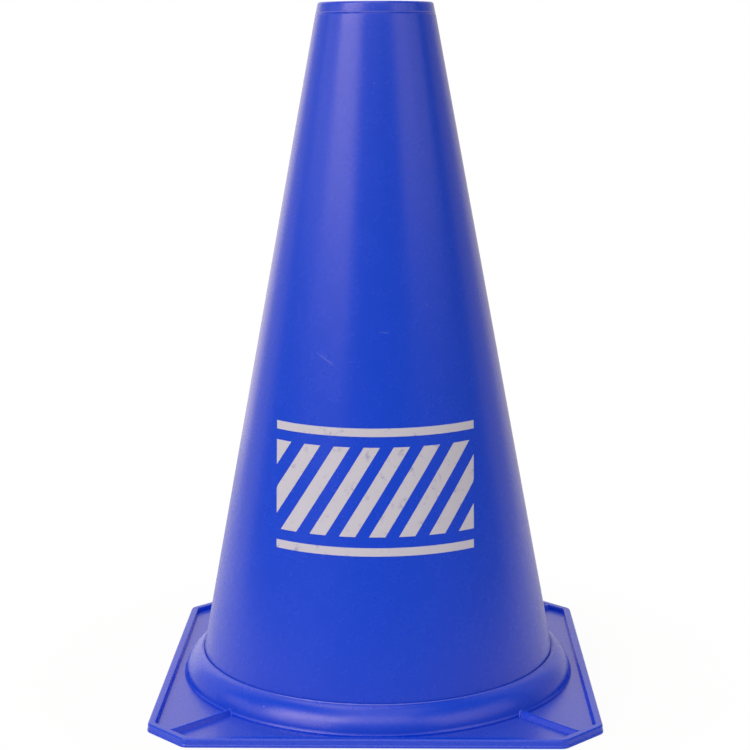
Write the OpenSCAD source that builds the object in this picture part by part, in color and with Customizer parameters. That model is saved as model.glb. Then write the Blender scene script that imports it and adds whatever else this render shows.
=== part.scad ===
// Hollow training cone on an eight-sided foot, moulded in polyethylene.
// Sizes are in millimetres. +Z is up, and the origin is the middle of the face it stands on.

/* [Base] */
// Width of the base, across its flat sides
base_w = 146; // [120:0.2:200]
// Length that each corner cut takes off a side
corner_cut = 13; // [9:0.5:24]
// Thickness of the base sheet
plate_t = 1.2; // [0.8:0.1:1.8]
// Height of the rim above the floor
rim_h = 2.9; // [2.6:0.1:5]
// Width of the rim along its top
rim_top_w = 2.6; // [1.8:0.1:3]
// Width of the rim where it meets the sheet
rim_foot_w = 3.1; // [3:0.05:4]
// Radius left inside the rim at its bends
bend_in_r = 0.6; // [0.2:0.1:3]
// Rounding of the rim's top edges
rim_edge_r = 0.5; // [0.1:0.05:0.7]
// Height of the narrow lip round the foot of the rim
lip_h = 0.9; // [0.6:0.1:1.2]
// Width by which that lip stands out from the rim's outer side
lip_w = 0.15; // [0.1:0.05:0.3]
// Rounding of the lip's top and bottom edges
lip_r = 0.2; // [0.1:0.05:0.25]
// Bare strip of sheet between rim and collar, at the middle of a side
strip_w = 2.2; // [0.8:0.1:6]

/* [Corner ribs] */
// Height of a rib above the sheet
rib_h = 1.7; // [0.8:0.1:1.8]
// Width of a rib along its top
rib_top_w = 1.9; // [1.4:0.1:2.2]
// Width of a rib where it meets the sheet
rib_foot_w = 2.7; // [2.3:0.1:4]
// Rounding of a rib's top edges
rib_edge_r = 0.5; // [0.1:0.05:0.6]

/* [Collar] */
// Height of the collar's mouth above the floor
collar_h = 10.1; // [8.5:0.1:16]
// Width of the collar from its mouth to the outside of its foot
collar_w = 6.75; // [6:0.05:9]
// Height of the step round the collar's foot
step_h = 0.9; // [0.6:0.1:1.2]
// Width by which the step's side leans out
step_flare = 0.3; // [0.1:0.05:0.6]
// Width of the sloping edge on top of the step
ledge_w = 0.3; // [0.2:0.05:0.6]
// Rise of that sloping edge up to the collar's back
ledge_rise = 0.4; // [0.2:0.05:0.6]
// Rounding of the step's corner
step_edge_r = 0.15; // [0.05:0.05:0.2]
// Slope of the collar's back at the mouth, in degrees
back_slope = 13; // [5:1:30]
// Reach of the flat upper part of the back
back_reach = 2.9; // [2:0.1:3.5]
// Lean of the collar's back at its foot, in degrees
back_lean = 8; // [2:1:15]
// Reach of the upright lower part of the back
back_rise = 3.9; // [3:0.1:4.4]
// Thickness of the collar's foot where it meets the sheet
foot_t = 1.8; // [1.6:0.1:2.4]

/* [Cone] */
// Height of the whole marker
total_h = 230; // [150:1:400]
// Outer radius of the cone at the parting line under the top ring
neck_r = 19.75; // [16:0.05:35]
// Wall thickness of the cone, measured level
wall_t = 1.6; // [1.2:0.1:2]
// Width of the groove between the cone and the collar's mouth
groove_w = 0.35; // [0.3:0.05:0.9]
// Depth of that groove
groove_d = 0.6; // [0.5:0.05:1.1]
// Depth at which the cone's foot seats below the mouth
seat_d = 1.5; // [1.4:0.1:1.8]
// Thickness of the ledge that carries the cone's foot
seat_t = 1.3; // [1:0.1:1.6]

/* [Top ring] */
// Height of the ring above the parting line
ring_h = 3.2; // [2.4:0.1:6]
// Step in from the cone to the ring, at the parting line
ring_inset = 0.1; // [0.05:0.05:0.6]
// Thickness of the ring at the parting line
ring_t = 2.5; // [2.2:0.1:3.5]
// Rounding of the ring's outer top edge
ring_edge_r = 1.2; // [0.3:0.1:1.4]
// Rounding of the mouth's top edge
mouth_edge_r = 0.4; // [0.1:0.1:0.5]

/* [Print] */
// Width of the printed panel
mark_w = 64; // [40:1:80]
// Height of the middle of the print above the floor
mark_z = 76; // [60:1:95]
// Height of the band of slanted bars
bar_h = 28; // [14:1:36]
// Width of a slanted bar
bar_w = 5.2; // [2:0.1:7]
// Distance from one bar to the next
bar_pitch = 9.6; // [8:0.1:14]
// Lean of the bars from upright, in degrees
bar_lean = 32; // [0:1:45]
// Height of the line above and below the bars
rule_h = 2.6; // [1:0.1:5]
// Gap between the bars and each line
rule_gap = 3.4; // [1:0.1:8]
// Thickness of the ink
ink_t = 0.1; // [0.05:0.01:0.3]

/* [Hidden] */
blue = [0.16, 0.27, 0.78];
silver = [0.72, 0.72, 0.74];
$fn = 96;
arc_steps = 10;
edge_steps = 4;
back_steps = 16;
overrun = 1;

half_w = base_w / 2;
bend_r = rim_foot_w + bend_in_r;
bend_y = half_w - corner_cut - bend_r * (sqrt(2) - 1);
cut_dist = sqrt(2) * half_w - corner_cut / sqrt(2);

collar_r = half_w - rim_foot_w - strip_w;
mouth_r = collar_r - collar_w;
foot_in_r = collar_r - foot_t;
ledge_r = collar_r - step_flare;
wall_r = ledge_r - ledge_w;
ledge_z = plate_t + step_h;
wall_z = ledge_z + ledge_rise;

foot_r = mouth_r - groove_w;
seat_z = collar_h - seat_d;
ring_z = total_h - ring_h;
ring_r = neck_r - ring_inset;
bore_r = ring_r - ring_t;

// Outer radius of the cone at height z, along its straight side
function cone_r(z) = foot_r + (neck_r - foot_r) * (z - collar_h) / (ring_z - collar_h);
roof_z = seat_z - seat_t;
roof_r = cone_r(seat_z) - wall_t;

function unit(v) = v / norm(v);

// Control points of the collar's back, from its foot up to the mouth
back_knots = [[wall_r, wall_z], [wall_r, wall_z] + back_rise * [-sin(back_lean), cos(back_lean)],
              [mouth_r, collar_h] + back_reach * [cos(back_slope), -sin(back_slope)], [mouth_r, collar_h]];

// Point at share t along the collar's back, at a distance inside its surface
function back_point(t, inset) =
    let (u = 1 - t, k = back_knots,
         along = u * u * (k[1] - k[0]) + 2 * u * t * (k[2] - k[1]) + t * t * (k[3] - k[2]))
    u * u * u * k[0] + 3 * u * u * t * k[1] + 3 * u * t * t * k[2] + t * t * t * k[3]
        + inset * unit([-along.y, along.x]);

// Collar's back as corners without rounding, from just above its foot up to the mouth
function back_corners(inset) =
    [for (i = [1:back_steps]) let (p = back_point(i / back_steps, inset)) [p.x, p.y, 0]];

// Points of an arc of radius r that rounds the corner b between a and c
function rounded(a, b, c, r, steps) =
    let (u = unit(a - b), w = unit(c - b), half = acos(u * w) / 2,
         centre = b + unit(u + w) * r / sin(half),
         first = b + u * r / tan(half) - centre,
         last = b + w * r / tan(half) - centre,
         start = atan2(first.y, first.x), turn = atan2(last.y, last.x) - start,
         sweep = turn > 180 ? turn - 360 : turn < -180 ? turn + 360 : turn)
    [for (i = [0:steps])
        let (angle = start + sweep * i / steps) centre + r * [cos(angle), sin(angle)]];

// Closed outline through corners given as [x, y, rounding]
function outline(corners, steps = arc_steps) =
    let (n = len(corners))
    [for (i = [0:n - 1])
        let (a = corners[(i + n - 1) % n], b = corners[i], c = corners[(i + 1) % n])
        each b.z > 0 ? rounded([a.x, a.y], [b.x, b.y], [c.x, c.y], b.z, steps) : [[b.x, b.y]]];

// Cone wall, from its foot in the collar's mouth up to the parting line
module cone_body() {
    groove_z = collar_h - groove_d;
    profile = [[roof_r, seat_z], [mouth_r, seat_z], [mouth_r, groove_z], [cone_r(groove_z), groove_z],
               [neck_r, ring_z], [neck_r - wall_t, ring_z]];
    color(blue) rotate_extrude() polygon(profile);
}

// Thicker ring round the open top, stepped in at the parting line
module top_ring() {
    lean = (foot_r - neck_r) / (ring_z - collar_h) * ring_h;
    profile = [[bore_r, ring_z, 0], [ring_r, ring_z, 0], [ring_r - lean, total_h, ring_edge_r],
               [bore_r, total_h, mouth_edge_r]];
    color(blue) rotate_extrude() polygon(outline(profile));
}

// Outer face of the collar, from the sheet over its step and its rounded back up to the mouth
function collar_face() = concat([[collar_r, plate_t, 0], [ledge_r, ledge_z, step_edge_r],
                                 [wall_r, wall_z, 0]], back_corners(0));

// Hollow collar: stepped foot, rounded back, and inside the mouth a seat for the cone
module foot_collar() {
    under = [for (p = back_corners(wall_t)) if (p.y < roof_z) p];
    start = back_point(0, wall_t);
    seat = [[mouth_r, seat_z, 0], [roof_r, seat_z, 0], [roof_r, roof_z, 0],
            [under[len(under) - 1].x, roof_z, 0]];
    inner_face = concat([for (i = [len(under) - 1:-1:0]) under[i]],
                        [[start.x, start.y, 0], [foot_in_r, plate_t, 0]]);
    color(blue) rotate_extrude() polygon(outline(concat(collar_face(), seat, inner_face)));
}

// Point p turned about the middle of the base
function turned(p, angle) = [p.x * cos(angle) - p.y * sin(angle), p.x * sin(angle) + p.y * cos(angle)];

// Eight-sided loop with rounded bends, at a distance inside the rim's outer face
function loop(inset) =
    let (far = half_w - bend_r, bends = [[far, bend_y, 0], [bend_y, far, 45]])
    [for (quarter = [0:3], bend = bends, i = [0:edge_steps])
        let (angle = bend.z + 45 * i / edge_steps)
        turned([bend.x, bend.y] + (bend_r - inset) * [cos(angle), sin(angle)], 90 * quarter)];

// Raised rim: its cross-section, with x measured inwards, swept round the eight-sided base
module edge_rim() {
    section = outline([[0, 0, lip_r], [rim_foot_w, 0, 0], [rim_foot_w, plate_t, 0],
        [rim_top_w, rim_h, rim_edge_r], [lip_w, rim_h, rim_edge_r], [lip_w, lip_h + lip_w, 0],
        [0, lip_h, lip_r]], edge_steps);
    points = [for (s = section, q = loop(s.x)) [q.x, q.y, s.y]];
    rows = len(section);
    cols = len(loop(0));
    faces = [for (i = [0:rows - 1], j = [0:cols - 1])
        let (i2 = (i + 1) % rows, j2 = (j + 1) % cols)
        [i * cols + j, i * cols + j2, i2 * cols + j2, i2 * cols + j]];
    color(blue) polyhedron(points, faces);
}

// Flat sheet inside the rim, open under the collar
module base_plate() {
    color(blue) difference() {
        linear_extrude(plate_t) polygon(loop(rim_foot_w));
        translate([0, 0, -overrun]) cylinder(h = plate_t + 2 * overrun, r = foot_in_r);
    }
}

// Low rib from the collar's foot out to the rim of one corner cut
module corner_rib(angle) {
    top_z = plate_t + rib_h;
    section = outline([[-rib_foot_w / 2, plate_t, 0], [rib_foot_w / 2, plate_t, 0],
        [rib_top_w / 2, top_z, rib_edge_r], [-rib_top_w / 2, top_z, rib_edge_r]], edge_steps);
    color(blue) difference() {
        rotate(angle) rotate([90, 0, 90]) linear_extrude(cut_dist - rim_top_w) polygon(section);
        rotate_extrude() polygon(outline(concat([[0, plate_t, 0]], collar_face(), [[0, collar_h, 0]])));
        rotate(angle) translate([cut_dist, 0, 0]) rotate([90, 0, 0])
            linear_extrude(2 * rib_foot_w, center = true) polygon([[0, 0], [-rim_foot_w, 0],
                [-rim_foot_w, plate_t], [-rim_top_w, rim_h], [0, rim_h]]);
    }
}

// Ink film on the front of the cone: a row of slanted bars between two lines
module printed_mark() {
    film_h = bar_h + 2 * (rule_gap + rule_h) + 2 * overrun;
    low = mark_z - film_h / 2;
    high = mark_z + film_h / 2;
    color(silver) intersection() {
        rotate_extrude() polygon([[cone_r(low), low], [cone_r(low) + ink_t, low],
                                  [cone_r(high) + ink_t, high], [cone_r(high), high]]);
        translate([0, 0, mark_z]) rotate([90, 0, 0]) linear_extrude(half_w) mark_pattern();
    }
}

// Flat drawing of the print, centred on its middle
module mark_pattern() {
    rule_z = (bar_h + rule_h) / 2 + rule_gap;
    reach = mark_w / 2 + bar_h * tan(bar_lean) / 2;
    last = ceil(reach / bar_pitch);
    intersection() {
        square([mark_w, bar_h], center = true);
        for (i = [-last:last]) translate([i * bar_pitch, 0]) slanted_bar();
    }
    for (side = [-1, 1]) translate([0, side * rule_z]) square([mark_w, rule_h], center = true);
}

// One bar, as tall as the band, leaning to the right
module slanted_bar() {
    shift = bar_h / 2 * tan(bar_lean);
    polygon([[-bar_w / 2 - shift, -bar_h / 2], [bar_w / 2 - shift, -bar_h / 2],
             [bar_w / 2 + shift, bar_h / 2], [-bar_w / 2 + shift, bar_h / 2]]);
}

cone_body();
top_ring();
foot_collar();
base_plate();
edge_rim();
corner_rib(225);  // rib_front_left
corner_rib(315);  // rib_front_right
corner_rib(135);  // rib_back_left
corner_rib(45);  // rib_back_right
printed_mark();
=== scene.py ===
import math

import bmesh
import bpy
from mathutils import Matrix, Vector, noise

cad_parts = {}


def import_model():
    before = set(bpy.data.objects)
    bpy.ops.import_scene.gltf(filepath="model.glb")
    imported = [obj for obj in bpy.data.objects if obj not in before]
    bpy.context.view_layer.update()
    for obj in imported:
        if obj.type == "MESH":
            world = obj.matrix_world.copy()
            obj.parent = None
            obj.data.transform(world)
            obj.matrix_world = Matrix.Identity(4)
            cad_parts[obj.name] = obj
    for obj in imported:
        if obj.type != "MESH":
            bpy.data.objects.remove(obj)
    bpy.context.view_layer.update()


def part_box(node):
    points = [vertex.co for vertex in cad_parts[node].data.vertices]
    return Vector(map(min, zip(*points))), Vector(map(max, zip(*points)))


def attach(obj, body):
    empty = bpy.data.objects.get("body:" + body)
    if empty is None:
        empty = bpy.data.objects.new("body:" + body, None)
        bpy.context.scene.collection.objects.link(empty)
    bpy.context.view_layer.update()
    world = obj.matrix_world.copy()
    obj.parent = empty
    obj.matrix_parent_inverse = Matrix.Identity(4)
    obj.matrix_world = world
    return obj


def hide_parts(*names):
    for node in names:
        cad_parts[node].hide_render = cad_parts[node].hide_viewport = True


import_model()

MM = 0.001

# The camera, as the photograph's perspective gives it
FRAME_PX = 750
FOCAL_PX = 1775
SENSOR_MM = 36
CAMERA_DISTANCE = 596.85 * MM
CAMERA_HEIGHT = 215.57 * MM
CAMERA_AROUND = math.radians(1.06)
CAMERA_PITCH = math.radians(10.48)
CAMERA_YAW = math.radians(-0.06)
CAMERA_ROLL = math.radians(-0.22)

# Sizes read from the frame
cone_low, cone_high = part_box("cone_body")
ring_low, ring_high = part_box("top_ring")
collar_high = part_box("foot_collar")[1]
plate_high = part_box("base_plate")[1]
rim_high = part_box("edge_rim")[1]
print_low, print_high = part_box("printed_mark")

TOTAL_H = ring_high.z
RING_Z = ring_low.z
RING_R = ring_high.x
SEAT_Z = cone_low.z
MOUTH_R = cone_high.x
COLLAR_H = collar_high.z
COLLAR_R = collar_high.x
PLATE_T = plate_high.z
RIM_H = rim_high.z
HALF_W = rim_high.x
PRINT_Z = (print_low.z + print_high.z) / 2
HALF_PRINT_W = (print_high.x - print_low.x) / 2

# Sizes that no box gives, the same as in the solid model
WALL_T = 1.6 * MM
RING_INSET = 0.1 * MM
RING_T = 2.5 * MM
MOUTH_EDGE_R = 0.4 * MM
GROOVE_W = 0.35 * MM
GROOVE_D = 0.6 * MM
SEAT_T = 1.3 * MM
LEDGE_W = 0.3 * MM
STEP_EDGE_R = 0.15 * MM
BACK_SLOPE = math.radians(13)
BACK_REACH = 2.9 * MM
BACK_RISE = 3.9 * MM
FOOT_T = 1.8 * MM
CORNER_CUT = 13 * MM
RIM_TOP_W = 2.6 * MM
RIM_FOOT_W = 3.1 * MM
BEND_IN_R = 0.6 * MM
RIM_EDGE_R = 0.5 * MM
LIP_R = 0.2 * MM
RIB_H = 1.7 * MM
RIB_FOOT_W = 2.7 * MM
RIB_EDGE_R = 0.5 * MM
BAR_H = 28 * MM
BAR_W = 5.2 * MM
BAR_PITCH = 9.6 * MM
BAR_LEAN = math.radians(32)
RULE_H = 2.6 * MM
INK_T = 0.1 * MM

# Edges set to the light that they catch, so that they differ a little from the solid model.
# EASE_R rounds the finest of them.
RING_EDGE_R = 0.95 * MM
STEP_H = 0.75 * MM
STEP_FLARE = 0.08 * MM
LEDGE_RISE = 0.5 * MM
BACK_LEAN = math.radians(15)
BEVEL_H = 0.45 * MM
BEVEL_W = 0.36 * MM
BEVEL_R = 0.15 * MM
LIP_H = 0.7 * MM
LIP_W = 0.2 * MM
LIP_RISE = 0.27 * MM
RIB_TOP_W = 1.0 * MM
EASE_R = 0.05 * MM

# Flash at the top of the cone, where the mould's parts met, and the fine groove under it
NECK_FIN_OUT = 0.25 * MM
NECK_FIN_H = 0.4 * MM
NECK_FIN_TIP_SHARE = 0.6
NECK_EDGE_DROP = 0.36 * MM
NECK_GROOVE = 0.11 * MM
NECK_GROOVE_RISE = 0.1 * MM
NECK_GROOVE_LOW = 0.8 * MM

# Flash along the collar's mouth: its height, its distance from the mouth, and its width either way
COLLAR_FIN = 0.27 * MM
COLLAR_FIN_OUT = 0.5 * MM
COLLAR_FIN_FRONT = 0.18 * MM
COLLAR_FIN_BACK = 0.2 * MM

# Radius of the bead round each rib's end on the collar
BEAD_R = 0.28 * MM

# Depth to which one piece of the moulding runs into the next, so that no light shows between them
SINK = 0.05 * MM

# Waviness of the moulded faces: its height, and its waves in a turn and in a metre
WAVE = 0.02 * MM
WALL_WAVES = (20, 45)
COLLAR_WAVES = (26, 60)
RIM_WAVES = 90

# A circle is about this many times as long as its radius
ROUND = 6

# Raggedness of the flash: its fine and broad waves in a turn, the least share of its height that it
# keeps, and how its uneven share starts and grows with the fine waves
FIN_FINE_WAVES = 420
FIN_BROAD_WAVES = 60
FIN_LEAST = 0.3
FIN_START = 0.15
FIN_GAIN = 0.5

# Blobs on the flash: the level of the two waves' product at which they start, and their gain from there
BLOB_START = 0.35
BLOB_GAIN = 1.4

# Seeds of the noise, one for each use
WALL_SEED = 1
COLLAR_OUT_SEED = 2
NECK_FIN_SEED = 3
COLLAR_UP_SEED = 4
COLLAR_FIN_SEED = 5
RIM_SEED = 7
BROAD_SEED_STEP = 9

# Mesh steps
SIDES = 480
ARC_STEPS = 8
BACK_STEPS = 32
BEAD_SIDES = 8
RIB_ROWS = 25
WALL_STEP = 4.5 * MM
RIM_STEP = 2 * MM
RIB_STEP = 0.25 * MM
INK_STEP = 1 * MM
SHARP_EDGE = math.radians(40)

# Sizes worked out from those above
NECK_R = RING_R + RING_INSET
FOOT_R = MOUTH_R - GROOVE_W
CONE_LEAN = (FOOT_R - NECK_R) / (RING_Z - COLLAR_H)
LEDGE_R = COLLAR_R - STEP_FLARE
COLLAR_WALL_R = LEDGE_R - LEDGE_W
LEDGE_Z = PLATE_T + STEP_H
COLLAR_WALL_Z = LEDGE_Z + LEDGE_RISE
CUT_DISTANCE = math.sqrt(2) * HALF_W - CORNER_CUT / math.sqrt(2)


def cone_r(z):
    """Outer radius of the cone at height z."""
    return FOOT_R + (NECK_R - FOOT_R) * (z - COLLAR_H) / (RING_Z - COLLAR_H)


def placed(angle, r, z):
    """Point at radius r and height z, at an angle round from the front."""
    return r * math.sin(angle), -r * math.cos(angle), z


def rounded(corners):
    """Closed outline through corners (x, y, rounding), with each rounding as an arc."""
    points = []
    for i, (x, y, r) in enumerate(corners):
        here = Vector((x, y))
        if r == 0:
            points.append(here)
            continue
        to_last = (Vector(corners[i - 1][:2]) - here).normalized()
        to_next = (Vector(corners[(i + 1) % len(corners)][:2]) - here).normalized()
        half = to_last.angle(to_next) / 2
        centre = here + (to_last + to_next).normalized() * r / math.sin(half)
        start = here + to_last * r / math.tan(half) - centre
        end = here + to_next * r / math.tan(half) - centre
        sweep = math.remainder(math.atan2(end.y, end.x) - math.atan2(start.y, start.x), 2 * math.pi)
        for k in range(ARC_STEPS + 1):
            a = sweep * k / ARC_STEPS
            x = start.x * math.cos(a) - start.y * math.sin(a)
            y = start.x * math.sin(a) + start.y * math.cos(a)
            points.append(centre + Vector((x, y)))
    return points


def divided(points, longest):
    """The same closed outline with its long sides cut into equal steps no longer than longest."""
    result = []
    for i, a in enumerate(points):
        b = points[(i + 1) % len(points)]
        steps = max(1, math.ceil((b - a).length / longest))
        result += [a.lerp(b, k / steps) for k in range(steps)]
    return result


def ripple(seed, angle, around, up=0, height=0):
    """Smooth noise, about -1 to 1: around waves in a turn and up waves in a metre of height."""
    x = around * math.cos(angle) / ROUND
    y = around * math.sin(angle) / ROUND
    return noise.noise(Vector((x, y, height * up + seed)))


def ragged(seed, angle):
    """Uneven share of its height that flash has round the axis, with a thicker blob here and there."""
    fine = 0.5 + 0.5 * ripple(seed, angle, FIN_FINE_WAVES)
    broad = 0.5 + 0.5 * ripple(seed + BROAD_SEED_STEP, angle, FIN_BROAD_WAVES)
    blob = BLOB_GAIN * max(0, broad * fine - BLOB_START)
    return FIN_LEAST + (1 - FIN_LEAST) * min(1, FIN_START + FIN_GAIN * fine + blob)


def finished(name, verts, faces, material, node=None):
    """Smooth-shaded piece that rides on the part, and stands for a CAD node where one is named."""
    mesh = bpy.data.meshes.new(name)
    mesh.from_pydata([tuple(v) for v in verts], [], faces)
    work = bmesh.new()
    work.from_mesh(mesh)
    bmesh.ops.recalc_face_normals(work, faces=work.faces)
    work.to_mesh(mesh)
    work.free()
    mesh.shade_smooth()
    mesh.set_sharp_from_angle(angle=SHARP_EDGE)
    mesh.materials.append(material)
    piece = bpy.data.objects.new(name, mesh)
    bpy.context.scene.collection.objects.link(piece)
    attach(piece, "root")
    if node:
        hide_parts(node)


def bands(count, rows, cols, base):
    """Faces of the first count bands between the rows of a grid of points, each row closed on itself."""
    faces = []
    for i in range(count):
        near = base + i * cols
        far = base + (i + 1) % rows * cols
        for j in range(cols):
            k = (j + 1) % cols
            faces.append((near + j, near + k, far + k, far + j))
    return faces


def closed_grid(rows, cols):
    """Faces of a grid of points, listed row by row, that closes on itself both ways."""
    return bands(rows, rows, cols, 0)


def open_grid(rows, cols, base=0):
    """Faces of a grid of points, listed row by row from base, with a cap on its first and last row."""
    last = base + (rows - 1) * cols
    caps = [tuple(range(base, base + cols)), tuple(range(last, last + cols))]
    return bands(rows - 1, rows, cols, base) + caps


def turned(name, profile, material, node=None, shape=None):
    """A closed (radius, height) profile turned about the axis. shape(r, z, angle) moves its points."""
    verts = []
    for j in range(SIDES):
        angle = 2 * math.pi * j / SIDES
        for p in profile:
            r, z = shape(p.x, p.y, angle) if shape else p
            verts.append(placed(angle, r, z))
    finished(name, verts, closed_grid(SIDES, len(profile)), material, node)


def circle(centre, u, v, radius, sides):
    """Points of a circle round a centre, in the plane of u and v."""
    turns = [2 * math.pi * k / sides for k in range(sides)]
    return [centre + radius * (u * math.cos(a) + v * math.sin(a)) for a in turns]


# Materials

# Deepest and palest colour of the plastic
BLUE = (0.0008, 0.0605, 0.735)
BLUE_PALE = (0.0014, 0.0665, 0.785)

# Plastic of the flash, paler than the rest of the plastic as a painted highlight, so that its thin
# ragged line shows bright
FLASH_PAINTED_HIGHLIGHT = (0.075, 0.125, 0.72)
FLASH_PAINTED_HIGHLIGHT_PALE = (0.11, 0.155, 0.76)

# Plastic where it is scratched or stands up as a speck
SCUFFED = (0.24, 0.34, 0.84)
SCUFFED_PALE = (0.36, 0.46, 0.90)

# The base sheet, paler and greyer than the rest of the plastic: a painted reflection of the white light
# round it
SHEET_PAINTED_REFLECTION = (0.027, 0.078, 0.68)
SHEET_PAINTED_REFLECTION_PALE = (0.033, 0.084, 0.72)

# Gloss of the plastic
ROUGHNESS_LOW = 0.24
ROUGHNESS_HIGH = 0.3
PLASTIC_IOR = 1.6
WARM_GLOSS = (1, 0.83, 0.71)

# Ink, full and worn, and the stretch of its noise over which it goes from one to the other
INK = (0.62, 0.63, 0.74)
INK_WORN = (0.40, 0.40, 0.60)
INK_ROUGHNESS = 0.5
WEAR_START = 0.56
WEAR_END = 0.72

# Noise of the plastic and of the ink: waves in a metre, detail and roughness
MOTTLE = (160, 8, 0.65)
WEAR = (260, 5, 0.65)


def put(tree, kind, links=None, **settings):
    """Adds a shader node. links gives its inputs, by name or place, a value or another node's output."""
    node = tree.nodes.new(kind)
    for key, value in settings.items():
        setattr(node, key, value)
    for key, value in (links or {}).items():
        if isinstance(value, bpy.types.NodeSocket):
            tree.links.new(value, node.inputs[key])
        else:
            node.inputs[key].default_value = value
    return node


def node_material(name):
    """A new material, its node tree and its main shader."""
    material = bpy.data.materials.new(name)
    material.use_nodes = True
    return material, material.node_tree, material.node_tree.nodes["Principled BSDF"]


def texture(tree, where, scale, detail, rough):
    """Output of a noise texture with scale waves in a metre."""
    inputs = {"Vector": where, "Scale": scale, "Detail": detail, "Roughness": rough}
    return put(tree, "ShaderNodeTexNoise", inputs).outputs["Fac"]


def remap(tree, value, low, high, to_low, to_high):
    """Output that goes smoothly from to_low to to_high as value goes from low to high."""
    inputs = {"Value": value, "From Min": low, "From Max": high, "To Min": to_low, "To Max": to_high}
    return put(tree, "ShaderNodeMapRange", inputs, interpolation_type="SMOOTHSTEP").outputs["Result"]


def colour_mix(tree, share, a, b):
    """Output of a colour that goes from a to b with share."""
    inputs = {"Factor": share, 6: (*a, 1), 7: (*b, 1)}
    return put(tree, "ShaderNodeMix", inputs, data_type="RGBA").outputs[2]


def blue_plastic(name, deep, pale):
    """Coloured polyethylene, a little uneven in colour and gloss as mouldings are."""
    material, tree, shader = node_material(name)
    where = put(tree, "ShaderNodeTexCoord").outputs["Object"]
    mottle = texture(tree, where, *MOTTLE)
    rough = remap(tree, mottle, 0, 1, ROUGHNESS_LOW, ROUGHNESS_HIGH)
    tree.links.new(colour_mix(tree, mottle, deep, pale), shader.inputs["Base Color"])
    tree.links.new(rough, shader.inputs["Roughness"])
    shader.inputs["Specular Tint"].default_value = (*WARM_GLOSS, 1)
    shader.inputs["IOR"].default_value = PLASTIC_IOR
    return material


def silver_ink():
    """Dull silver-grey ink, thin and patchy where the screen left less of it."""
    material, tree, shader = node_material("silver_grey_ink")
    where = put(tree, "ShaderNodeTexCoord").outputs["Object"]
    worn = remap(tree, texture(tree, where, *WEAR), WEAR_START, WEAR_END, 0, 1)
    tree.links.new(colour_mix(tree, worn, INK, INK_WORN), shader.inputs["Base Color"])
    shader.inputs["Roughness"].default_value = INK_ROUGHNESS
    return material


plastic = blue_plastic("blue_polyethylene", BLUE, BLUE_PALE)
# The flash's paler plastic is a painted highlight.
flash_painted_highlight_plastic = blue_plastic("blue_polyethylene_flash_painted_highlight", FLASH_PAINTED_HIGHLIGHT, FLASH_PAINTED_HIGHLIGHT_PALE)
scuffed_plastic = blue_plastic("blue_polyethylene_scuffed", SCUFFED, SCUFFED_PALE)
# The sheet's paler, greyer colour is a painted reflection.
sheet_painted_reflection_plastic = blue_plastic("blue_polyethylene_sheet_painted_reflection", SHEET_PAINTED_REFLECTION, SHEET_PAINTED_REFLECTION_PALE)
ink = silver_ink()


# Cone wall, the ring round its mouth and the flash between them

def cone_wall():
    """Cone's wall, with a fine groove under its top edge."""
    groove_z = COLLAR_H - GROOVE_D
    neck_z = RING_Z - NECK_GROOVE_LOW
    edge_z = RING_Z - NECK_EDGE_DROP
    outline = rounded([
        (cone_r(SEAT_Z) - WALL_T, SEAT_Z, 0),
        (MOUTH_R, SEAT_Z, 0),
        (MOUTH_R, groove_z, 0),
        (cone_r(groove_z), groove_z, 0),
        (cone_r(neck_z), neck_z, EASE_R),
        (cone_r(neck_z) - NECK_GROOVE, neck_z + NECK_GROOVE_RISE, 0),
        (cone_r(edge_z) - NECK_GROOVE, edge_z - NECK_GROOVE_RISE, 0),
        (cone_r(edge_z), edge_z, 0),
        (RING_R - SINK, RING_Z, 0),
        (NECK_R - WALL_T, RING_Z, 0),
    ])

    def shape(r, z, angle):
        outside = COLLAR_H < z < neck_z - EASE_R and r > cone_r(z) - WALL_T / 2
        return (r + WAVE * ripple(WALL_SEED, angle, *WALL_WAVES, z) if outside else r), z

    turned("cone_wall", divided(outline, WALL_STEP), plastic, "cone_body", shape)


def neck_flash():
    """Thin ragged flash that the mould left along its parting line, where the ring meets the wall."""
    low_z = RING_Z - NECK_FIN_H
    tip_z = low_z + NECK_FIN_H * NECK_FIN_TIP_SHARE
    corners = ((cone_r(low_z) - SINK, low_z), (RING_R + NECK_FIN_OUT, tip_z),
               (RING_R - SINK, RING_Z), (RING_R - 2 * SINK, tip_z))

    def shape(r, z, angle):
        return (RING_R + (r - RING_R) * ragged(NECK_FIN_SEED, angle) if r > cone_r(low_z) else r), z

    # Its paler plastic is a painted highlight.
    turned("neck_flash", [Vector(p) for p in corners], flash_painted_highlight_plastic, shape=shape)


def mouth_ring():
    """Ring above the parting line."""
    bore_r = RING_R - RING_T
    top_r = RING_R - CONE_LEAN * (TOTAL_H - RING_Z)
    profile = rounded([
        (bore_r, RING_Z - SINK, 0),
        (RING_R, RING_Z - SINK, 0),
        (top_r, TOTAL_H, RING_EDGE_R),
        (bore_r, TOTAL_H, MOUTH_EDGE_R),
    ])
    turned("mouth_ring", profile, plastic, "top_ring")


# Collar round the foot of the cone

def back(inset):
    """Points of the collar's rounded back, from foot to mouth, at a distance inside the surface."""
    foot = Vector((COLLAR_WALL_R, COLLAR_WALL_Z))
    mouth = Vector((MOUTH_R, COLLAR_H))
    above = foot + BACK_RISE * Vector((-math.sin(BACK_LEAN), math.cos(BACK_LEAN)))
    beside = mouth + BACK_REACH * Vector((math.cos(BACK_SLOPE), -math.sin(BACK_SLOPE)))
    points = []
    for k in range(BACK_STEPS + 1):
        t = k / BACK_STEPS
        u = 1 - t
        place = u ** 3 * foot + 3 * u * u * t * above + 3 * u * t * t * beside + t ** 3 * mouth
        along = u * u * (above - foot) + 2 * u * t * (beside - above) + t * t * (mouth - beside)
        points.append(place + inset * Vector((-along.y, along.x)).normalized())
    return points


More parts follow.
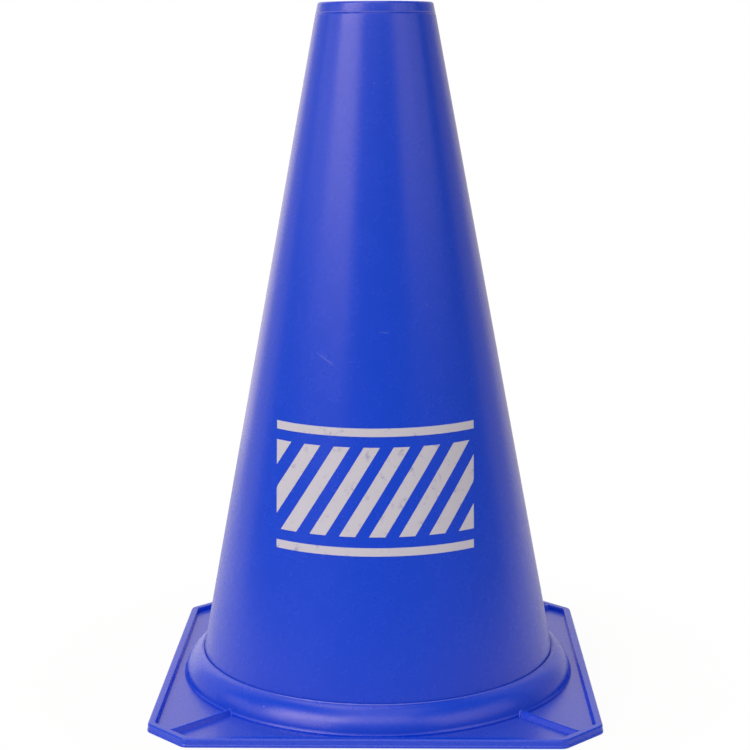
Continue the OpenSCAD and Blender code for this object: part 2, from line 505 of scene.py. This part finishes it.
def deck_z(r):
    """Height of the collar's back at a radius near its mouth."""
    return COLLAR_H - (r - MOUTH_R) * math.tan(BACK_SLOPE)


def collar_outer_r(z):
    """Outer radius of the collar at height z."""
    if z < LEDGE_Z:
        return COLLAR_R - STEP_FLARE * (z - PLATE_T) / STEP_H
    if z < COLLAR_WALL_Z:
        return LEDGE_R - LEDGE_W * (z - LEDGE_Z) / LEDGE_RISE
    points = back(0)
    for a, b in zip(points, points[1:]):
        if z <= b.y:
            return a.x + (b.x - a.x) * (z - a.y) / (b.y - a.y)
    return MOUTH_R


def collar():
    """Collar, with the step round its foot and the seat that holds the cone's foot."""
    roof_z = SEAT_Z - SEAT_T
    roof_r = cone_r(SEAT_Z) - WALL_T
    foot_r = COLLAR_R - FOOT_T
    step = rounded([
        (COLLAR_R, PLATE_T, 0),
        (LEDGE_R, LEDGE_Z, STEP_EDGE_R),
        (COLLAR_WALL_R, COLLAR_WALL_Z, 0),
    ])
    seat = ((MOUTH_R, COLLAR_H), (MOUTH_R, SEAT_Z), (roof_r, SEAT_Z), (roof_r, roof_z))
    under = [p for p in reversed(back(WALL_T)) if p.y < roof_z]
    profile = step[:-1] + back(0)[:-1] + [Vector(p) for p in seat]
    profile += [Vector((under[0].x, roof_z))] + under + [Vector((foot_r, PLATE_T))]

    def shape(r, z, angle):
        if z <= COLLAR_WALL_Z or r <= MOUTH_R + COLLAR_FIN_OUT + COLLAR_FIN_FRONT:
            return r, z
        out = WAVE * ripple(COLLAR_OUT_SEED, angle, *COLLAR_WAVES, z)
        up = WAVE * ripple(COLLAR_UP_SEED, angle, *COLLAR_WAVES, r)
        return r + out, z + up

    turned("collar_moulding", profile, plastic, "foot_collar", shape)


def collar_flash():
    """Thin ragged flash that stands along the collar's mouth."""
    tip_r = MOUTH_R + COLLAR_FIN_OUT
    corners = ((tip_r + COLLAR_FIN_FRONT, -SINK), (tip_r, COLLAR_FIN), (tip_r - COLLAR_FIN_BACK, -SINK))

    def shape(r, z, angle):
        deck = deck_z(r)
        return r, (deck + (z - deck) * ragged(COLLAR_FIN_SEED, angle) if z > deck else z)

    profile = [Vector((r, deck_z(r) + up)) for r, up in corners]
    # Its paler plastic is a painted highlight.
    turned("collar_flash", profile, flash_painted_highlight_plastic, shape=shape)


# Base: sheet, rim and corner ribs

# Ribs: corner, and degrees round from the right
RIBS = (
    ("front_left", 225),
    ("front_right", 315),
    ("back_left", 135),
    ("back_right", 45),
)


def loop(inset):
    """Eight-sided loop with rounded bends at a distance inside the rim's outer face."""
    bend_r = RIM_FOOT_W + BEND_IN_R
    far = HALF_W - bend_r
    bend_y = HALF_W - CORNER_CUT - bend_r * (math.sqrt(2) - 1)
    points = []
    for quarter in range(4):
        for x, y, first in ((far, bend_y, 0), (bend_y, far, 45)):
            for k in range(ARC_STEPS + 1):
                a = math.radians(first + 45 * k / ARC_STEPS)
                p = Vector((x, y)) + (bend_r - inset) * Vector((math.cos(a), math.sin(a)))
                points.append(Matrix.Rotation(math.radians(90 * quarter), 2) @ p)
    return points


def loop_steps(inset):
    """Pieces that each side of a loop is cut into, a list that keeps loops at other insets in step."""
    points = loop(inset)
    sides = [(points[(i + 1) % len(points)] - p).length for i, p in enumerate(points)]
    return [max(1, math.ceil(side / RIM_STEP)) for side in sides]


def cut_loop(inset, steps):
    """Points of a loop with each side cut into its number of pieces."""
    points = loop(inset)
    result = []
    for i, n in enumerate(steps):
        result += [points[i].lerp(points[(i + 1) % len(points)], k / n) for k in range(n)]
    return result


def rim():
    """Rim with a bevelled outer edge and a narrow lip round its foot."""
    section = rounded([
        (0, 0, LIP_R),
        (RIM_FOOT_W, 0, 0),
        (RIM_FOOT_W, PLATE_T, 0),
        (RIM_TOP_W, RIM_H, RIM_EDGE_R),
        (LIP_W + BEVEL_W, RIM_H, BEVEL_R),
        (LIP_W, RIM_H - BEVEL_H, BEVEL_R),
        (LIP_W, LIP_H + LIP_RISE, EASE_R),
        (0, LIP_H, EASE_R),
    ])
    steps = loop_steps(0)
    verts = []
    for s in section:
        for p in cut_loop(s.x, steps):
            wave = noise.noise(Vector((p.x, p.y, RIM_SEED)) * RIM_WAVES)
            dent = WAVE * (1 + wave) if s.y > PLATE_T else 0
            verts.append((p.x, p.y, s.y - dent))
    faces = closed_grid(len(section), sum(steps))
    finished("rim_moulding", verts, faces, plastic, "edge_rim")


def sheet():
    """Flat sheet between the rim and the round opening under the collar."""
    hole_r = COLLAR_R - FOOT_T
    outer = cut_loop(RIM_FOOT_W - SINK, loop_steps(RIM_FOOT_W))
    inner = [p.normalized() * hole_r for p in outer]
    rings = [(outer, 0), (outer, PLATE_T), (inner, PLATE_T), (inner, 0)]
    verts = [(p.x, p.y, z) for ring, z in rings for p in ring]
    faces = closed_grid(len(rings), len(outer))
    # Its paler, greyer colour is a painted reflection.
    finished("base_sheet", verts, faces, sheet_painted_reflection_plastic, "base_plate")


def bead(verts, faces, path, along):
    """Adds a thin round bead on a path that lies across the direction along."""
    base = len(verts)
    for i, p in enumerate(path):
        ahead = (path[min(i + 1, len(path) - 1)] - path[max(i - 1, 0)]).normalized()
        u = along.cross(ahead).normalized()
        verts += circle(p, u, ahead.cross(u), BEAD_R, BEAD_SIDES)
    faces += open_grid(len(path), BEAD_SIDES, base)


def rib(corner, degrees):
    """A rib from the collar to the rim, with the thin bead that frames its end on the collar."""
    along = Vector((math.cos(math.radians(degrees)), math.sin(math.radians(degrees)), 0))
    across = Vector((-along.y, along.x, 0))
    half_foot = RIB_FOOT_W / 2
    low_z = PLATE_T - SINK
    top_z = PLATE_T + RIB_H
    top = [(RIB_TOP_W / 2, top_z, RIB_EDGE_R), (-RIB_TOP_W / 2, top_z, RIB_EDGE_R)]
    section = divided(rounded([(-half_foot, low_z, 0), (half_foot, low_z, 0), *top]), RIB_STEP)
    arch = rounded([(half_foot, PLATE_T, 0), *top, (-half_foot, PLATE_T, 0)])

    def collar_distance(p):
        return math.sqrt(collar_outer_r(p.y) ** 2 - p.x ** 2)

    def rim_distance(p):
        share = min(1, max(0, (p.y - PLATE_T) / (RIM_H - PLATE_T)))
        return CUT_DISTANCE - RIM_FOOT_W + (RIM_FOOT_W - RIM_TOP_W) * share

    verts = []
    for i in range(RIB_ROWS):
        for p in section:
            start = collar_distance(p) - SINK
            end = rim_distance(p) + SINK
            place = along * (start + (end - start) * i / (RIB_ROWS - 1)) + across * p.x
            verts.append((place.x, place.y, p.y))
    faces = open_grid(RIB_ROWS, len(section))
    path = []
    for p in arch:
        place = along * collar_distance(p) + across * p.x
        path.append(Vector((place.x, place.y, p.y)))
    bead(verts, faces, path, along)
    finished("rib_moulding_" + corner, verts, faces, plastic, "rib_" + corner)


# Specks of plastic and scratches

# Specks on the wall: degrees round from the front, height and width in millimetres
WALL_SPECKS = (
    (0.04, 204.1, 0.34),
    (26.5, 134.1, 0.34),
    (-12.4, 171.0, 0.14),
    (41.0, 95.5, 0.16),
    (-30.5, 48.0, 0.16),
    (128.0, 150.0, 0.3),
    (-150.0, 88.0, 0.3),
)

# Specks on the collar: degrees round from the front, share of the way up its back, width in millimetres
COLLAR_SPECKS = (
    (-33.2, 0.41, 0.5),
    (-19.2, 0.93, 0.3),
    (-12.8, 0.95, 0.24),
    (28.0, 0.9, 0.2),
    (140.0, 0.5, 0.4),
)

# Hairline scratches: degrees round from the front and height of each end, then width, in millimetres
SCRATCHES = (
    ((-27.9, 119.2), (-18.1, 115.3), 0.15),
    ((33.0, 183.6), (33.9, 181.0), 0.1),
    ((-41.2, 134.4), (-39.3, 126.8), 0.06),
    ((2.1, 126.2), (7.3, 125.8), 0.05),
    ((150.0, 120.0), (157.0, 112.0), 0.15),
    ((95.0, 60.0), (97.5, 66.0), 0.1),
)

# Height of a scratch's burr, and its width at the ends as a share of that halfway
SCRATCH_T = 0.04 * MM
SCRATCH_END_SHARE = 0.2


def speck(verts, faces, centre, normal, width):
    """Adds one low round bump, a third as high as it is wide."""
    u = normal.orthogonal().normalized()
    v = normal.cross(u)
    rings, sides = 4, 12
    base = len(verts)
    for i in range(rings):
        a = math.pi / 2 * i / rings
        lift = normal * width / 3 * math.sin(a)
        verts += [p + lift for p in circle(centre, u, v, width / 2 * math.cos(a), sides)]
    faces += open_grid(rings, sides, base)


def specks():
    """Specks that stand on the wall and on the collar."""
    verts, faces = [], []
    for degrees, height, width in WALL_SPECKS:
        a = math.radians(degrees)
        z = height * MM
        normal = Vector(placed(a, 1, CONE_LEAN)).normalized()
        speck(verts, faces, Vector(placed(a, cone_r(z), z)), normal, width * MM)
    points = back(0)
    for degrees, share, width in COLLAR_SPECKS:
        a = math.radians(degrees)
        k = round(share * BACK_STEPS)
        step = points[min(k + 1, BACK_STEPS)] - points[k - 1]
        lean = Vector((step.y, -step.x)).normalized()
        centre = Vector(placed(a, *points[k]))
        speck(verts, faces, centre, Vector(placed(a, *lean)), width * MM)
    finished("plastic_specks", verts, faces, scuffed_plastic)


def scratches():
    """Raised burrs of pale plastic along the scratches, widest halfway."""
    verts, faces = [], []
    steps = 16
    for start, end, width in SCRATCHES:
        base = len(verts)
        for i in range(steps + 1):
            t = i / steps
            a = math.radians(start[0] + (end[0] - start[0]) * t)
            z = (start[1] + (end[1] - start[1]) * t) * MM
            share = SCRATCH_END_SHARE + (1 - SCRATCH_END_SHARE) * math.sin(math.pi * t)
            half = width / 2 * MM * share
            for lift, side in ((SCRATCH_T, -1), (SCRATCH_T, 1), (-SINK, 1), (-SINK, -1)):
                edge_z = z + side * half
                verts.append(placed(a, cone_r(edge_z) + lift, edge_z))
        faces += open_grid(steps + 1, 4, base)
    finished("wall_scratches", verts, faces, scuffed_plastic)


# Print on the front of the cone

def ink_patch(verts, faces, left, right, low, high):
    """Adds a closed film of ink on the cone, between two heights and the widths left(z) and right(z)."""
    rows = max(4, math.ceil((high - low) / INK_STEP))
    levels = [low + (high - low) * i / rows for i in range(rows + 1)]
    widest = max(right(z) - left(z) for z in levels)
    cols = max(3, math.ceil(widest / INK_STEP))
    base = len(verts)
    for lift in (INK_T, -SINK):
        for z in levels:
            for j in range(cols + 1):
                x = left(z) + (right(z) - left(z)) * j / cols
                y = -math.sqrt((cone_r(z) + lift) ** 2 - x ** 2)
                verts.append((x, y, z))
    n = cols + 1
    layer = (rows + 1) * n
    for first in (base, base + layer):
        for i in range(rows):
            for j in range(cols):
                k = first + i * n + j
                faces.append((k, k + 1, k + n + 1, k + n))
    edge = list(range(cols)) + [i * n + cols for i in range(rows)]
    edge += [rows * n + j for j in range(cols, 0, -1)] + [i * n for i in range(rows, 0, -1)]
    for a, b in zip(edge, edge[1:] + edge[:1]):
        faces.append((base + a, base + b, base + layer + b, base + layer + a))


def bar_edge(middle, side):
    """Function that gives, at a height, where a leaning bar's edge lies within the panel."""

    def edge(z):
        x = middle + (z - PRINT_Z) * math.tan(BAR_LEAN) + side * BAR_W / 2
        return max(-HALF_PRINT_W, min(HALF_PRINT_W, x))

    return edge


def printed_panel():
    """Slanting bars between two rules, as one piece."""
    verts, faces = [], []
    for low in (print_low.z, print_high.z - RULE_H):
        ink_patch(verts, faces, lambda z: -HALF_PRINT_W, lambda z: HALF_PRINT_W, low, low + RULE_H)
    lean = math.tan(BAR_LEAN)
    last = math.ceil((HALF_PRINT_W + BAR_H * lean / 2) / BAR_PITCH)
    for i in range(-last, last + 1):
        middle = i * BAR_PITCH
        low = max(PRINT_Z - BAR_H / 2, PRINT_Z + (-HALF_PRINT_W - middle - BAR_W / 2) / lean + SINK)
        high = min(PRINT_Z + BAR_H / 2, PRINT_Z + (HALF_PRINT_W - middle + BAR_W / 2) / lean - SINK)
        if high > low:
            ink_patch(verts, faces, bar_edge(middle, -1), bar_edge(middle, 1), low, high)
    finished("ink_print", verts, faces, ink, "printed_mark")


cone_wall()
mouth_ring()
neck_flash()
collar()
collar_flash()
rim()
sheet()
for corner, degrees in RIBS:
    rib(corner, degrees)
specks()
scratches()
printed_panel()


# Studio: floor, white cards behind and soft boxes

FLOOR_COLOUR = (0.92, 0.92, 0.92)
FLOOR_ROUGHNESS = 0.9
FLOOR_REACH = 0.45

# Distances over which the floor goes to white for the camera, and how white it is at the first
WHITE_START = 0.07
WHITE_END = 0.15
WHITE_SHARE = 0.94

# Strength of the white world, as the object sees it and as the camera does
WORLD_LIGHT = 0.15
WORLD_SEEN = 1.0

CARD_RADIUS = 1.5
CARD_LOW = -0.5
CARD_HIGH = 2.6
CARD_WARM = (1, 0.88, 0.68)
WARM = (1, 0.9, 0.85)
LAMP_AIM = (0, 0, 0.1)

# Cards: name, degrees round from the front of both ends, and radiance
CARDS = (
    ("card_right", 105, 135, 0.45),
    ("card_back_right", 135, 165, 0.84),
    ("card_back", 165, 195, 0.94),
    ("card_back_left", 195, 225, 1.4),
    ("card_left", 225, 255, 0.6),
)

# Lamps: name, degrees round from the front and above the level, distance, width, height, radiance, slant
LAMPS = (
    ("left_box", -46, 30, 2.0, 1.26, 1.1, 2.5, 0),
    ("left_core_box", -44, 34.5, 1.9, 1.55, 0.42, 2.9, 15),
    ("far_left_box", -81, 18.5, 2.0, 1.3, 0.5, 1.05, 0),
    ("front_box", -3, 45, 2.0, 1.2, 0.8, 1.8, 0),
    ("front_low_box", -2, 28, 2.0, 0.8, 0.5, 0.3, 0),
    ("front_right_box", 30, 35, 2.0, 0.8, 0.6, 0.8, 0),
    ("right_box", 48, 26.5, 2.0, 0.8, 0.75, 1.3, 0),
    ("far_right_box", 73, 25, 2.0, 0.95, 0.85, 0.85, 0),
    ("top_box", 0, 72, 2.0, 1.4, 0.9, 0.85, 0),
    ("back_top_box", -140, 76, 2.0, 1.1, 1.0, 2.2, 0),
)


def staged(name, verts, faces, material):
    """A thing of the studio that isn't part of the object."""
    mesh = bpy.data.meshes.new(name)
    mesh.from_pydata(verts, [], faces)
    mesh.materials.append(material)
    item = bpy.data.objects.new(name, mesh)
    bpy.context.scene.collection.objects.link(item)
    return item


def floor():
    """Pale floor that goes to plain white away from the object, for the camera alone."""
    material, tree, matte = node_material("pale_floor")
    matte.inputs["Base Color"].default_value = (*FLOOR_COLOUR, 1)
    matte.inputs["Roughness"].default_value = FLOOR_ROUGHNESS
    where = put(tree, "ShaderNodeTexCoord").outputs["Object"]
    away = put(tree, "ShaderNodeVectorMath", {0: where}, operation="LENGTH").outputs["Value"]
    far = remap(tree, away, WHITE_START, WHITE_END, WHITE_SHARE, 1.0)
    camera_ray = put(tree, "ShaderNodeLightPath").outputs["Is Camera Ray"]
    glow = put(tree, "ShaderNodeEmission", {"Color": (1, 1, 1, 1), "Strength": 1.0}).outputs[0]
    share = put(tree, "ShaderNodeMath", {0: far, 1: camera_ray}, operation="MULTIPLY").outputs[0]
    mixed = put(tree, "ShaderNodeMixShader", {0: share, 1: matte.outputs[0], 2: glow}).outputs[0]
    tree.links.new(mixed, tree.nodes["Material Output"].inputs["Surface"])
    d = FLOOR_REACH
    staged("floor", [(-d, -d, 0), (d, -d, 0), (d, d, 0), (-d, d, 0)], [(0, 1, 2, 3)], material)


def white_card(name, start, end, radiance):
    """Curved white card behind the object, between two angles, which the camera doesn't see."""
    material, tree, _ = node_material(name)
    glow = put(tree, "ShaderNodeEmission", {"Color": (*CARD_WARM, 1), "Strength": radiance}).outputs[0]
    tree.links.new(glow, tree.nodes["Material Output"].inputs["Surface"])
    steps = 8
    verts = []
    for i in range(steps + 1):
        a = math.radians(start + (end - start) * i / steps)
        verts += [placed(a, CARD_RADIUS, CARD_LOW), placed(a, CARD_RADIUS, CARD_HIGH)]
    faces = [(2 * i, 2 * i + 2, 2 * i + 3, 2 * i + 1) for i in range(steps)]
    card = staged(name, verts, faces, material)
    card.visible_camera = False


def soft_box(name, degrees, elevation, distance, wide, tall, radiance, slant):
    """Lamp that faces the object. slant turns it about its own axis, so that its left end is lower."""
    data = bpy.data.lights.new(name, "AREA")
    data.shape = "RECTANGLE"
    data.size = wide
    data.size_y = tall
    data.energy = radiance * math.pi * wide * tall
    data.color = WARM
    lamp = bpy.data.objects.new(name, data)
    up = math.radians(elevation)
    aim = Vector(LAMP_AIM)
    lamp.location = aim + distance * Vector(placed(math.radians(degrees), math.cos(up), math.sin(up)))
    facing = (aim - lamp.location).to_track_quat("-Z", "Y").to_matrix()
    lamp.rotation_euler = (facing @ Matrix.Rotation(math.radians(slant), 3, "Z")).to_euler()
    lamp.visible_camera = False
    bpy.context.scene.collection.objects.link(lamp)


def world():
    """White world, dim for all but the camera."""
    settings = bpy.data.worlds.new("studio")
    bpy.context.scene.world = settings
    settings.use_nodes = True
    tree = settings.node_tree
    camera_ray = put(tree, "ShaderNodeLightPath").outputs["Is Camera Ray"]
    background = tree.nodes["Background"]
    background.inputs["Color"].default_value = (1, 1, 1, 1)
    tree.links.new(remap(tree, camera_ray, 0, 1, WORLD_LIGHT, WORLD_SEEN), background.inputs["Strength"])


def camera():
    """Camera at the photograph's viewing angle."""
    data = bpy.data.cameras.new("camera")
    data.sensor_width = SENSOR_MM
    data.lens = FOCAL_PX / FRAME_PX * SENSOR_MM
    view = bpy.data.objects.new("camera", data)
    yaw = CAMERA_YAW - CAMERA_AROUND
    ahead = math.cos(CAMERA_PITCH)
    forward = Vector((math.sin(yaw) * ahead, math.cos(yaw) * ahead, -math.sin(CAMERA_PITCH)))
    level = Vector((math.cos(yaw), -math.sin(yaw), 0))
    upright = level.cross(forward)
    right = level * math.cos(CAMERA_ROLL) + upright * math.sin(CAMERA_ROLL)
    up = upright * math.cos(CAMERA_ROLL) - level * math.sin(CAMERA_ROLL)
    axes = Matrix((right, up, -forward)).transposed()
    place = Vector(placed(CAMERA_AROUND, CAMERA_DISTANCE, CAMERA_HEIGHT))
    view.matrix_world = Matrix.Translation(place) @ axes.to_4x4()
    bpy.context.scene.collection.objects.link(view)
    bpy.context.scene.camera = view


floor()
for card_settings in CARDS:
    white_card(*card_settings)
for lamp_settings in LAMPS:
    soft_box(*lamp_settings)
world()
camera()
bpy.context.scene.view_settings.view_transform = "Standard"
